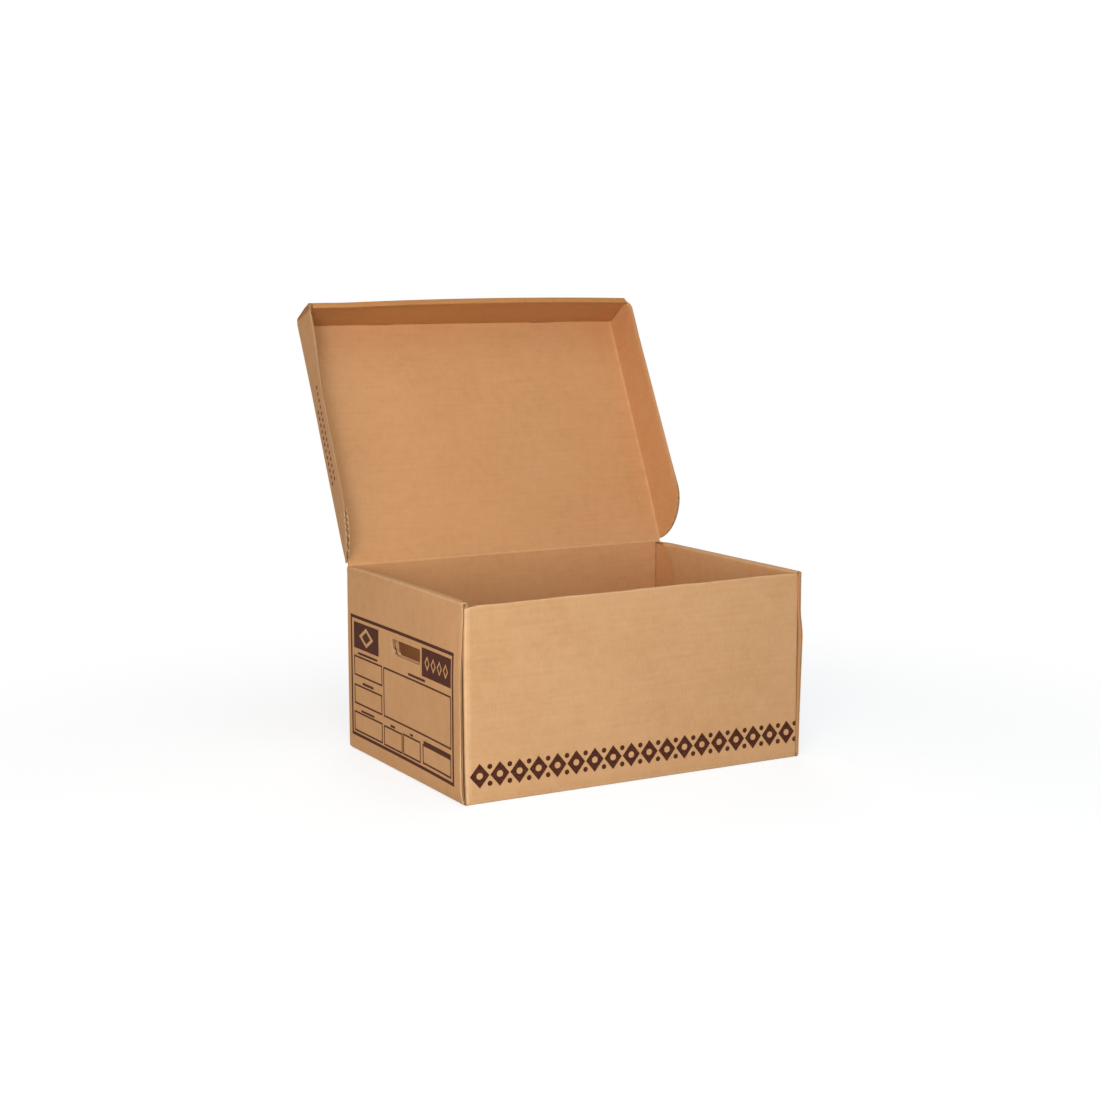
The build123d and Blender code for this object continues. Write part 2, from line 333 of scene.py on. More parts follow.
def slab(rows, edges, cuts, kept, low, high):       # closed sheet between two depths; a cut is a count or shares
    runs = [edges[0][:, None]]
    for k, cut in enumerate(cuts):
        shares = np.linspace(0, 1, cut + 1) if isinstance(cut, int) else np.array(cut)
        runs.append(edges[k][:, None] + (edges[k + 1] - edges[k])[:, None] * shares[1:])
    a = np.concatenate(runs, 1)
    b = np.repeat(rows[:, None], a.shape[1], 1)
    cells = np.repeat(kept, [run.shape[1] for run in runs[1:]], axis=1)
    grid = np.arange(a.size).reshape(a.shape)
    i, j = np.nonzero(cells)
    under = np.stack([grid[i, j], grid[i + 1, j], grid[i + 1, j + 1], grid[i, j + 1]], 1)
    quads = [under, under[:, ::-1] + a.size]
    around = np.pad(cells, 1)
    for di, dj, first, last in ((-1, 0, (0, 0), (0, 1)), (1, 0, (1, 1), (1, 0)),
                                (0, -1, (1, 0), (0, 0)), (0, 1, (0, 1), (1, 1))):
        bare = ~around[1 + i + di, 1 + j + dj]
        start = grid[i[bare] + first[0], j[bare] + first[1]]
        end = grid[i[bare] + last[0], j[bare] + last[1]]
        quads.append(np.stack([start, end, end + a.size, start + a.size], 1))
    flat = np.stack([np.tile(a.ravel(), 2), np.tile(b.ravel(), 2), np.repeat([low, high], a.size)], 1)
    used, faces = np.unique(np.concatenate(quads), return_inverse=True)
    return flat[used], faces.reshape(-1, 4)


def layerSlab(panel, layer):        # a panel's liner or fluting, with its folds run over or stopped short
    thick, fold, liner, turned = (boardMake[k] for k in ("thick", "fold", "liner", "foldColumns"))
    outer = layer == "outer"
    reach = {"outer": fold * pi / 2 - 2 * fold + thick, "inner": -thick, "fluting": -fold}[layer]
    (aLow, aHigh), (bLow, bHigh) = panel["a"], panel["b"]
    bLow, bHigh = panel.get("bLows", {}).get(layer, bLow), panel.get("bHighs", {}).get(layer, bHigh)
    folds = panel.get("folds", ())
    stops = [bLow, *[s for s in panel.get("stops", ()) if bLow < s < bHigh], bHigh]
    if "bLow" in folds:
        stops[0] = bLow - reach
        stops = [stops[0], bLow + fold, *stops[1:]] if outer else stops
    if "bHigh" in folds:
        stops[-1] = bHigh + reach
        stops = [*stops[:-1], bHigh - fold, stops[-1]] if outer else stops
    if layer == "fluting":
        rows = divided(stops, boardMake["pitch"] / boardMake["stepsPerFlute"], 1)
    else:
        rows = divided(stops, panel.get("grid", boardMake["grid"]), boardMake["leastRows"])
    inside = np.clip(rows, bLow, bHigh)
    edges = [e(inside) if callable(e) else np.full(rows.shape, float(e))
             for e in (aLow, *panel.get("breaks", ()), aHigh)]
    cuts = list(panel["cuts"])
    bands = list(range(len(cuts)))
    if "aLow" in folds:
        first = edges[0] - reach
        if outer:
            edges, cuts, bands = [first, edges[0] + fold, *edges[1:]], [turned, *cuts], [0, *bands]
        else:
            edges[0] = first
    if "aHigh" in folds:
        last = edges[-1] + reach
        if outer:
            edges, cuts, bands = [*edges[:-1], edges[-1] - fold, last], [*cuts, turned], [*bands, bands[-1]]
        else:
            edges[-1] = last
    short = panel.get("short", {}).get(layer, 0)        # a layer may stop short of an end, which then looks dark
    edges[0], edges[-1] = edges[0] + short, edges[-1] - short
    for k in range(1, len(edges)):
        edges[k] = np.maximum(edges[k], edges[k - 1])
    middles = np.clip((rows[1:] + rows[:-1]) / 2, bLow, bHigh)
    keep = panel.get("keep", lambda band, b: True)
    kept = np.array([[bool(keep(band, b)) for band in bands] for b in middles])
    half, middle = boardMake["fluting"] / 2, thick / 2
    depths = {"outer": (0, liner), "inner": (thick - liner, thick), "fluting": (middle - half, middle + half)}
    flat, quads = slab(rows, edges, cuts, kept, *depths[layer])
    if layer == "fluting":
        rise = (middle - liner - half) * mm
        return grown(pressFlutes, flat, quads, {"Pitch": boardMake["pitch"] * mm, "Rise": rise, "Paper": fluting})
    return flat, quads


def outward(points, quads):         # turns the faces round where a mapping mirrors them
    p, q, r, s = (points[quads[:, k]] for k in range(4))
    volume = (np.cross(q, r) * p).sum() + (np.cross(r, s) * p).sum()
    return quads if volume > 0 else quads[:, ::-1]


def dressed(name, layers, papers):      # one object from (flat, quads, points, wear) layers, each with its paper
    quads, slots, start = [], [], 0
    for k, (_, faces, points, _) in enumerate(layers):
        quads.append(outward(points, faces) + start)
        slots.append(np.full(len(faces), k))
        start += len(points)
    flats, points, wears = (np.concatenate([layer[k] for layer in layers]) for k in (0, 2, 3))
    mesh = bpy.data.meshes.new(name)
    mesh.from_pydata((points * mm).tolist(), [], np.concatenate(quads).tolist())
    for paper in papers:
        mesh.materials.append(paper)
    mesh.polygons.foreach_set("material_index", np.concatenate(slots).astype(np.int32))
    shift = boardMake["patch"] * (len(bpy.data.objects) % boardMake["patches"])     # a fresh patch of paper
    flatPlace = (flats * mm + (shift, 0, shift)).ravel().astype(np.float32)
    mesh.attributes.new("flatPlace", "FLOAT_VECTOR", "POINT").data.foreach_set("vector", flatPlace)
    mesh.attributes.new("foldWear", "FLOAT", "POINT").data.foreach_set("value", wears.astype(np.float32))
    mesh.shade_smooth()
    mesh.set_sharp_from_angle(angle=radians(boardMake["sharp"]))
    return linked(name, mesh)


outsidePapers = (outsideLiner, insideLiner, fluting)
paintedShadePapers = (paintedShadeLiner, insideLiner, fluting)


def boardPanel(name, panel, place, node, body="box", papers=outsidePapers):
    layers = []
    for layer in ("outer", "inner", "fluting"):
        flat, quads = layerSlab(panel, layer)
        a, b, n = flat.T
        wear = 0 * n
        if "raw" in panel:      # a die-cut edge is pressed thin and shows pale
            raw, middle = np.maximum(panel["raw"](a, b), 0), boardMake["thick"] / 2
            given = (panel.get(k, boardMake[k]) for k in ("crush", "cutWear", "cutReach"))
            crush, cutWear, cutReach = (f(a, b) if callable(f) else f for f in given)
            n = middle + (n - middle) * (1 - crush * np.exp(-(raw / boardMake["crushReach"]) ** 2))
            wear = cutWear * np.exp(-(raw / cutReach) ** 2)
        points, rubbed = place(a, b, n)
        layers.append((flat, quads, points, np.maximum(wear, rubbed)))
    piece = dressed(name, layers, papers)
    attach(piece, body)
    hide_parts(node)
    return piece


towardsHigh = (0, 0.15, 0.3, 0.45, 0.6, 0.72, 0.82, 0.9, 0.95, 0.98, 0.993, 1)     # columns gather at an edge
towardsLow = tuple(1 - s for s in reversed(towardsHigh))
nearEdge = (0.4, 1.0, 2.0, 3.5, 6.0)        # mm, rows that follow a crushed edge


# folds and rolls

def roundFolds(a, b, n, panel):     # past a fold the outer liner turns the corner: along a, along b, depth, wear
    fold, folds, turned = boardMake["fold"], panel.get("folds", ()), []
    for s, axis in ((a, "a"), (b, "b")):
        low, high = panel[axis]
        over = np.maximum(s - (high - fold), 0) if axis + "High" in folds else 0 * s
        under = np.maximum(low + fold - s, 0) if axis + "Low" in folds else 0 * s
        angle = np.minimum((over + under) / fold, pi / 2)
        along = s - over + under + np.sign(over - under) * (fold - n) * np.sin(angle)
        past = np.maximum(over + under - fold * pi / 2, 0)
        turned.append((along, np.cos(angle), past, np.sin(2 * angle)))
    (a, aTurn, aPast, aWear), (b, bTurn, bPast, bWear) = turned
    depth = fold - (fold - n) * aTurn * bTurn + np.maximum(aPast, bPast)
    return a, b, depth, boardMake["foldWear"] * unit(np.maximum(aWear, bWear))


rollMake = {"wide": 12.0, "tall": 8.0, "bend": 2.8, "pinch": 0.62, "wear": 0.3}
rollLeg = rollMake["tall"] - rollMake["bend"]
rollArc = rollMake["bend"] * pi / 2
rollStops = [rollLeg, rollLeg + rollArc, rollLeg + rollArc + rollMake["wide"] - 2 * rollMake["bend"]]
rollStops += [rollStops[2] + rollArc, rollStops[2] + rollArc + rollLeg]


def rollOver(s, n, narrow):     # up a leg, over the edge and down again, pinched thin: across, rise, wear
    bend, flat = rollMake["bend"], rollStops[2] - rollStops[1]
    n = n * (1 - (1 - rollMake["pinch"]) * ease(np.minimum(s, rollStops[4] - s) / rollLeg))
    one = np.clip((s - rollStops[0]) / bend, 0, pi / 2)
    two = np.clip((s - rollStops[2]) / bend, 0, pi / 2)
    over, down = np.clip(s - rollStops[1], 0, flat), np.clip(s - rollStops[3], 0, rollLeg)
    across = bend - bend * np.cos(one) + over * (1 - narrow / flat) + bend * np.sin(two)
    rise = np.clip(s, 0, rollLeg) + bend * np.sin(one) - bend + bend * np.cos(two) - down
    wear = rollMake["wear"] * unit(np.sin(2 * one) + np.sin(2 * two))
    return across + n * np.cos(one + two), rise - n * np.sin(one + two), wear


def nodeSpan(node):     # box of a node, in mm
    low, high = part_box(node)
    return np.array(low) / mm, np.array(high) / mm


# box

floorLow, floorHigh = nodeSpan("floor_panel")
frontLow, frontHigh = nodeSpan("front_wall")
backLow, backHigh = nodeSpan("back_wall")
endLow, endHigh = nodeSpan("right_wall_outer")
rollLow, rollHigh = nodeSpan("right_wall_roll")
innerLow, innerHigh = nodeSpan("right_wall_inner")
flapLow, flapHigh = nodeSpan("back_right_corner_flap")

floorMake = {"slotMiddle": 240.0, "slotWide": 5.0, "slotLong": 46.0, "slotSpread": 130.0}


def makeFloor():
    inner, outer = (floorMake["slotMiddle"] + s * floorMake["slotWide"] / 2 for s in (-1, 1))
    near, far = ((floorMake["slotSpread"] + s * floorMake["slotLong"]) / 2 for s in (-1, 1))

    def place(a, b, n):
        return np.stack([a, b, floorLow[2] + n], 1), 0 * a

    panel = {"a": (floorLow[0], floorHigh[0]), "b": (floorLow[1], floorHigh[1]), "cuts": [1, 2, 10, 2, 1],
             "breaks": (-outer, -inner, inner, outer), "stops": (-far, -near, near, far),
             "keep": lambda band, b: band in (0, 2, 4) or not near < abs(b) < far}
    return boardPanel("floorBoard", panel, place, "floor_panel")


# the last four entries make a pale band down the left fold: partly wear, partly painted highlight where that fold
# faces the light
frontMake = {"bow": 0.9, "leftRise": 0.9, "rightRise": 4.4, "leftDip": 2.6, "rightDip": 1.0, "dipLong": 18.0,
             "dipPower": 12, "ripple": 0.3, "rippleLong": 23, "rippleShort": 9.1, "rippleShare": 0.6,
             "leftReach": 3.3, "leftLong": 70, "leftFoot": 40.0, "footShare": 0.7, "finer": 24,
             "scuff": 0.40, "scuffLong": 5.2, "scuffFade": 3.2, "scuffFoot": 12}


def frontPlace(a, b, n):        # its top waves, and its left end stands out where the side is bowed
    make = frontMake
    x, z, depth, wear = roundFolds(a, b, n, frontPanel)
    left, share = x - frontLow[0], unit(z / frontHigh[2])
    along = unit(left / (frontHigh[0] - frontLow[0]))
    waves = np.sin(x / make["rippleLong"]) + make["rippleShare"] * np.sin(x / make["rippleShort"] + 1)
    lift = make["leftRise"] + (make["rightRise"] - make["leftRise"]) * along + make["ripple"] * waves
    ends = unit(1 - (frontHigh[0] - np.abs(x)) / make["dipLong"])
    dip = np.where(x < 0, make["leftDip"], make["rightDip"]) * ends
    bow = make["bow"] * np.sin(pi * along) * np.sin(pi * share) ** 2
    foot = 1 - make["footShare"] * np.exp(-z / make["leftFoot"])
    reach = make["leftReach"] * foot * unit(1 - left / make["leftLong"]) ** 2
    # pale band down the left fold, partly wear and partly painted highlight on the side that faces the light
    scuff = 1 - ease((left - make["scuffLong"]) / make["scuffFade"])
    scuff = scuff * ease(z / make["scuffFoot"]) * make["scuff"]
    top = z + lift * share - dip * share ** make["dipPower"]
    return np.stack([x - reach, frontLow[1] + depth - bow, top], 1), np.maximum(wear, scuff)


frontPanel = {"a": (frontLow[0], frontHigh[0]), "b": (frontLow[2], frontHigh[2]), "cuts": [20, 30, 6],
              "breaks": (frontLow[0] + frontMake["finer"], frontHigh[0] - frontMake["finer"]),
              "folds": ("aLow", "aHigh", "bLow"), "stops": [frontHigh[2] - d for d in reversed(nearEdge)],
              "raw": lambda a, b: frontHigh[2] - b, "crush": 0.3, "cutWear": 0.6}

backMake = {"bow": 1.6, "tops": {"outer": 247.9, "inner": 250.2, "fluting": 248.4},
            "short": {"inner": 1.3, "fluting": 2.2}}


def backPlace(a, b, n):
    x, z, depth, wear = roundFolds(a, b, n, backPanel)
    along = np.cos(pi * np.clip(x / (backHigh[0] - backLow[0]), -0.5, 0.5))
    bow = backMake["bow"] * along * np.sin(pi * unit(z / rollHigh[2])) ** 2
    return np.stack([x, backHigh[1] - depth + bow, z], 1), wear


backPanel = {"a": (backLow[0], backHigh[0]), "b": (backLow[2], backMake["tops"]["outer"]), "cuts": [14],
             "bHighs": backMake["tops"], "folds": ("aLow", "aHigh", "bLow"), "short": backMake["short"]}

endMake = {"leftBow": 6.6, "leftFoot": 7.0, "leftDrawn": 0.66, "leftFrom": 150, "leftLong": 95,
           "rightBow": 4.0, "rightPeak": 158.0, "rightPower": 1.3, "rightDrawn": 0.92, "rightFrom": 164,
           "rightLong": 38, "backShare": 0.08, "fade": 3.0, "footBreaks": (8, 16, 28),
           "wear": 0.9, "cleaner": 0.5, "wearFrom": 45, "wearLong": 60}
holeMake = {"front": -55.8, "back": 30.5, "low": 153.5, "high": 174.5, "corner": 2.0,
            "backLong": 13.0, "backTall": 18.5, "frontLong": 6.0, "frontTall": 6.0,
            "rows": (-3.5, -2, -1, -0.4, 0, 0.4, 1, 2, 4, 7, 12)}


def endBow(side, y, z):     # the raw front edge of an end stands off the corner, less so under the lid
    make = endMake
    forward = unit((endHigh[1] - y) / (endHigh[1] - endLow[1])) ** make["fade"]
    if side < 0:
        amount = make["leftBow"] * (1 - np.exp(-np.maximum(z, 0) / make["leftFoot"]))
        amount = amount * (1 - make["leftDrawn"] * ease((z - make["leftFrom"]) / make["leftLong"]))
    else:
        amount = make["rightBow"] * unit(z / make["rightPeak"]) ** make["rightPower"]
        amount = amount * (1 - make["rightDrawn"] * ease((z - make["rightFrom"]) / make["rightLong"]))
    return amount * (make["backShare"] + (1 - make["backShare"]) * forward)


def holeLow(b):
    ahead = 1 - unit((b - holeMake["front"]) / holeMake["frontLong"])
    behind = 1 - unit((holeMake["back"] - b) / holeMake["backLong"])
    low = holeMake["low"] + holeMake["frontTall"] * (1 - np.sqrt(1 - ahead ** 2))
    return low + holeMake["backTall"] * (1 - np.sqrt(1 - behind ** 2))


def holeHigh(b):
    corner = holeMake["corner"]
    into = np.clip(np.minimum(b - holeMake["front"], holeMake["back"] - b), 0, corner)
    return holeMake["high"] - corner + np.sqrt(corner ** 2 - (corner - into) ** 2)


def inHole(b):
    return holeMake["front"] < b < holeMake["back"]


def fromHole(a, b):     # distance from the hand hole's edge
    along = np.clip(b, holeMake["front"], holeMake["back"])
    return np.hypot(b - along, np.maximum(np.maximum(holeLow(along) - a, a - holeHigh(along)), 0))


holeStops = [holeMake["front"] + d for d in holeMake["rows"]]
holeStops += [holeMake["back"] - d for d in reversed(holeMake["rows"])]
endPanel = {"a": (endLow[2], endHigh[2]), "b": (endLow[1], endHigh[1]), "folds": ("aLow",),
            "breaks": (*endMake["footBreaks"], holeLow, holeHigh), "cuts": [3, 4, 3, towardsHigh, 3, towardsLow],
            "stops": [endLow[1] + d for d in nearEdge] + holeStops + [endHigh[1] - d for d in reversed(nearEdge)],
            "keep": lambda band, b: band != 4 or not inHole(b), "crush": 0.2,
            "raw": lambda a, b: np.minimum(np.minimum(b - endLow[1], endHigh[1] - b), fromHole(a, b)),
            "cutWear": lambda a, b: (endMake["wear"] - endMake["cleaner"]
                                     * ease((a - endMake["wearFrom"]) / endMake["wearLong"]))}


def endPlace(side):
    def place(a, b, n):
        z, y, depth, wear = roundFolds(a, b, n, endPanel)
        return np.stack([side * (endHigh[0] - depth + endBow(side, y, z)), y, z], 1), wear
    return place


innerMake = {"half": 119.5, "armHalf": 138.4, "scoopMiddle": 175.7, "scoopHeight": 200.0, "scoopRadius": 56.2,
             "tabLow": 0.5, "tabNear": 42.5, "tabFar": 87.5, "press": 3.2, "pressReach": 26.0,
             "rows": (-3.5, -2, -1, -0.4, 0, 0.3, 1, 2.5, 5, 9, 14)}
rollReach = {"leftFront": -174.6, "rightFront": -172.5, "back": 170.5, "frontLeg": 4.0, "narrow": 4.0,
             "narrowLong": 22.0, "lift": 1.4, "liftLong": 40.0, "step": 0.2, "rows": (0, 2, 4, 7, 10, 12.9)}


def scoopTop(b):        # upper half of the round shoulder cut out of an inner panel
    across = innerMake["scoopMiddle"] - np.abs(b)
    return innerMake["scoopHeight"] + np.sqrt(np.clip(innerMake["scoopRadius"] ** 2 - across ** 2, 0, None))


def makeRoll(side, name, node):
    front, back = rollReach["leftFront"] if side < 0 else rollReach["rightFront"], rollReach["back"]
    arm, bend, step = innerMake["armHalf"], rollMake["bend"], rollReach["step"]

    def place(a, b, n):
        narrow = rollReach["narrow"] * np.exp(-((b - front) / rollReach["narrowLong"]) ** 2)
        across, rise, wear = rollOver(a, n, narrow)
        lift = rollReach["lift"] * ease((rollHigh[1] - b) / rollReach["liftLong"])
        z = rollLow[2] + rise * (1 + lift / rollMake["tall"])
        return np.stack([side * (rollHigh[0] - across + endBow(side, b, z)), b, z], 1), wear

    def innerEnd(b):        # the scoop runs up through the inner leg at the back; at the front a short leg stays
        below = rollHigh[2] - np.clip(scoopTop(b), rollLow[2], rollHigh[2])
        behind = np.where(below > bend, rollStops[3] + below - bend,
                          rollStops[2] + (rollStops[3] - rollStops[2]) * below / bend)
        ahead = np.where(b < -arm, rollStops[3] + rollReach["frontLeg"], behind)
        return np.where(np.abs(b) <= arm, rollStops[4], ahead)

    def upTo(stop):
        return lambda b: np.minimum(stop, innerEnd(b))

    def keep(band, b):
        if band < 2:
            return True
        return front < b < back and (band == 2 or innerEnd(np.array(b)) > rollStops[band - 1] + 0.01)

    def raw(a, b):
        return np.minimum(np.abs(b - np.where(a > rollStops[1], front, rollLow[1])), np.abs(rollHigh[1] - b))

    panel = {"a": (0.0, innerEnd), "b": (rollLow[1], rollHigh[1]), "cuts": [3, 5, 2, 5, 3],
             "breaks": (*rollStops[:2], *map(upTo, rollStops[2:4])), "keep": keep, "raw": raw, "crush": 0.12,
             "stops": sorted([rollLow[1] + step, front, *(front + d for d in nearEdge), -arm - step, -arm,
                              *(arm + d for d in rollReach["rows"]), back])}
    return boardPanel(name, panel, place, node)


def makeInner(side, name, node):
    half, arm, height = innerMake["half"], innerMake["armHalf"], innerMake["scoopHeight"]
    tabNear, tabFar = innerMake["tabNear"], innerMake["tabFar"]

    def upperBreak(b):      # top of the hand hole, running out to the scooped shoulders
        middle = holeHigh(b)
        out = np.maximum(holeMake["front"] - b, b - holeMake["back"])
        reach = np.where(b < 0, half + holeMake["front"], half - holeMake["back"])
        between = middle + (height - middle) * unit(out / reach)
        return np.where(np.abs(b) >= half, np.minimum(scoopTop(b), innerHigh[2]), between)

    def place(a, b, n):     # pressed against the outer board round the hand hole
        press = innerMake["press"] * ease(1 - fromHole(a, b) / innerMake["pressReach"])
        return np.stack([side * (innerLow[0] + n + press), b, a], 1), 0 * a

    def bare(a, b):
        scoop = np.hypot(np.abs(b) - innerMake["scoopMiddle"], a - height) - innerMake["scoopRadius"]
        return np.minimum(np.where(a < height, half - np.abs(b), scoop), fromHole(a, b))

    def keep(band, b):
        return (tabNear < abs(b) < tabFar, abs(b) < half, abs(b) < half and not inHole(b), True)[band]

    ends = [half + d for d in innerMake["rows"]] + [tabNear, tabFar]
    panel = {"a": (innerMake["tabLow"], innerHigh[2]), "b": (-arm, arm), "raw": bare, "keep": keep,
             "breaks": (floorHigh[2], holeLow, upperBreak), "cuts": [1, towardsHigh, 3, towardsLow],
             "stops": sorted([*holeStops, *ends, *(-e for e in ends)])}
    return boardPanel(name, panel, place, node)


flapMake = {"taper": 12.0, "frontTop": 243.0, "backTop": 248.0}


def makeFlap(side, end, name, node):
    long, taper = flapHigh[1] - flapLow[1], flapMake["taper"]
    low, top = flapLow[2], flapMake["frontTop"] if end < 0 else flapMake["backTop"]

    def tip(b):
        return long - np.clip(taper - np.minimum(b - low, top - b), 0, taper)

    def place(a, b, n):
        return np.stack([side * (flapHigh[0] - n), end * (flapHigh[1] - a), b], 1), 0 * a

    panel = {"a": (0.0, tip), "b": (low, top), "stops": (low + taper, top - taper), "cuts": [5]}
    return boardPanel(name, panel, place, node)


makeFloor()
boardPanel("frontWallBoard", frontPanel, frontPlace, "front_wall")
boardPanel("backWallBoard", backPanel, backPlace, "back_wall")
for side, word in ((-1, "left"), (1, "right")):
    boardPanel(word + "EndBoard", endPanel, endPlace(side), word + "_wall_outer")
    makeRoll(side, word + "EndRoll", word + "_wall_roll")
    makeInner(side, word + "EndInner", word + "_wall_inner")
    for end, wall in ((-1, "front"), (1, "back")):
        makeFlap(side, end, wall + word.title() + "Flap", wall + "_" + word + "_corner_flap")
print("box boards made")


# lid, drawn in its own X, u (from the hinge to its front) and v (from the hinge's level to the free edge)

joint = frame["joints"][0]
hingeY, hingeZ = joint["pos_m"][1] / mm, joint["pos_m"][2] / mm
lidAngle = radians(-joint["range_deg"][0])      # from closed to where it stands

lidRide = {"lift": 1.4, "from": 214.0, "long": 20.0, "back": 4.0, "backLong": 30.0, "fade": 60.0}


def standLid(x, u, v):      # its sides ride up over the end rolls
    ride = lidRide["lift"] * ease((np.abs(x) - lidRide["from"]) / lidRide["long"])
    v = v - ride * ease((u - lidRide["back"]) / lidRide["backLong"]) * unit(1 - v / lidRide["fade"])
    y, z = hingeY - u * cos(lidAngle) - v * sin(lidAngle), hingeZ + u * sin(lidAngle) - v * cos(lidAngle)
    return np.stack([x, y, z], 1)


def lidSpan(node):      # box of a node in the lid's own directions
    x, y, z = np.array([vertex.co for vertex in frame["nodes"][node].data.vertices]).T / mm
    y, z = y - hingeY, z - hingeZ
    flat = np.stack([x, z * sin(lidAngle) - y * cos(lidAngle), -y * sin(lidAngle) - z * cos(lidAngle)], 1)
    return flat.min(0), flat.max(0)


lidLow, lidHigh = lidSpan("lid_panel")
skirtLow, skirtHigh = lidSpan("lid_front_skirt")
lidRollLow, lidRollHigh = lidSpan("lid_front_roll")
lidInnerLow, lidInnerHigh = lidSpan("lid_front_inner")
sideLow, sideHigh = lidSpan("lid_right_skirt")
tabLow, tabHigh = lidSpan("lid_right_tab")

lidMake = {"bow": 1.4, "starts": {"outer": 4.6, "inner": 2.3, "fluting": 4.2}, "neckHalf": 249.8, "neckEnd": 5.4,
           "rubbed": 0.55, "rubIn": 2, "rubWide": 2.2,
           "slotLow": 348.5, "slotHigh": 353.5, "slotNear": 111.0, "slotFar": 153.0}


def makeLidPanel():
    start, neck, neckEnd = lidMake["starts"]["outer"], lidMake["neckHalf"], lidMake["neckEnd"]
    near, far, low, high = (lidMake[k] for k in ("slotNear", "slotFar", "slotLow", "slotHigh"))

    def edge(side, b):
        return neck + (lidHigh[0] - skirtInset(side, b) - neck) * unit((b - start) / (neckEnd - start))

    def place(a, b, n):     # rubbed along its side folds
        along = np.cos(pi * np.clip(a / (2 * lidHigh[0]), -0.5, 0.5))
        bow = lidMake["bow"] * along * np.sin(pi * unit(b / lidHigh[1])) ** 2
        into = np.where(a < 0, edge(-1, b) + a, edge(1, b) - a) - lidMake["rubIn"]
        return standLid(a, b, lidLow[2] + n - bow), lidMake["rubbed"] * np.exp(-(into / lidMake["rubWide"]) ** 2)

    panel = {"a": (lambda b: -edge(-1, b), lambda b: edge(1, b)), "b": (start, lidHigh[1]),
             "breaks": (-far, -near, near, far), "cuts": [towardsLow, 2, 8, 2, towardsHigh],
             "bLows": lidMake["starts"], "stops": (neckEnd, low, high),
             "keep": lambda band, b: band in (0, 2, 4) or not low < b < high}
    return boardPanel("lidBoard", panel, place, "lid_panel", "lid")


skirtMake = {"tilt": 1.7, "sag": 7.4, "peak": 77.0, "span": 336.0, "least": -3.4, "free": 62.5, "closeUp": 4.0,
             "drawnIn": 0.0156, "drawnLeft": 7.0, "endFrom": 200, "endLong": 50, "tucked": 2.8, "tuckFade": 1.5,
             "slant": 3.2, "slantFrom": 2, "slantLong": 6}


def skirtTilt(x, v):        # the doubled front skirt leans out at its free edge
    lean = skirtMake["tilt"] - skirtMake["sag"] * ((x - skirtMake["peak"]) / skirtMake["span"]) ** 2
    return np.maximum(lean, skirtMake["least"]) * v / skirtMake["free"]


def nearEnd(x):
    return unit((x - skirtMake["endFrom"]) / skirtMake["endLong"])


def skirtDrawn(x, v):       # its free edge is shorter than its fold and drawn left, the fold's left end tucked in
    share = np.clip(v / skirtMake["free"], 0, 1.1)
    tucked = skirtMake["tucked"] * nearEnd(-x) * unit(1 - skirtMake["tuckFade"] * share)
    return x * (1 - skirtMake["drawnIn"] * share) - skirtMake["drawnLeft"] * share + tucked


frontSkirtPanel = {"a": (skirtLow[0], skirtHigh[0]), "b": (skirtLow[2], skirtHigh[2]), "folds": ("bLow",),
                   "cuts": [24], "short": {"fluting": 8.0}}


def frontSkirtPlace(a, b, n):
    x, v, depth, wear = roundFolds(a, b, n, frontSkirtPanel)
    return standLid(skirtDrawn(x, v), skirtHigh[1] - depth + skirtTilt(x, v), v), wear


def makeLidRoll():
    inner = lidInnerHigh[0]

    def place(a, b, n):
        across, rise, wear = rollOver(b, n, skirtMake["closeUp"])
        v = lidRollLow[2] + rise
        slant = unit((across - skirtMake["slantFrom"]) / skirtMake["slantLong"]) * nearEnd(a)
        x = skirtDrawn(a, v) + skirtMake["slant"] * slant       # its right end is cut on a slant
        return standLid(x, lidRollHigh[1] - across + skirtTilt(a, v), v), wear

    panel = {"a": (lidRollLow[0], lidRollHigh[0]), "b": (0.0, rollStops[4]), "breaks": (-inner, inner),
             "cuts": [1, 24, 1], "grid": 1.6, "stops": rollStops[:4],
             "keep": lambda band, b: band > 0 or b < rollStops[1]}
    # the roll's liner is painted darker, as shade
    return boardPanel("lidFrontRoll", panel, place, "lid_front_roll", "lid", papers=paintedShadePapers)


lidLockMake = {"near": 111.5, "far": 152.5, "closeFrom": 6}


def makeLidInner():
    near, far, first, under = lidLockMake["near"], lidLockMake["far"], lidLockMake["closeFrom"], lidHigh[2]

    def place(a, b, n):     # the doubled skirt closes up towards its rolled edge
        close = skirtMake["closeUp"] * ease((b - first) / (lidInnerHigh[2] - first))
        u = lidInnerLow[1] + n + close + skirtTilt(a, np.maximum(b, 0))
        return standLid(skirtDrawn(a, b), u, b), 0 * a

    panel = {"a": (lidInnerLow[0], lidInnerHigh[0]), "b": (lidInnerLow[2], lidInnerHigh[2]), "stops": (under,),
             "breaks": (-far, -near, near, far), "cuts": [5, 2, 8, 2, 5],
             "keep": lambda band, b: b > under or band in (1, 3)}
    # the inner flap's liner is painted darker, as shade
    return boardPanel("lidFrontInner", panel, place, "lid_front_inner", "lid",
                      paintedShadePapers)


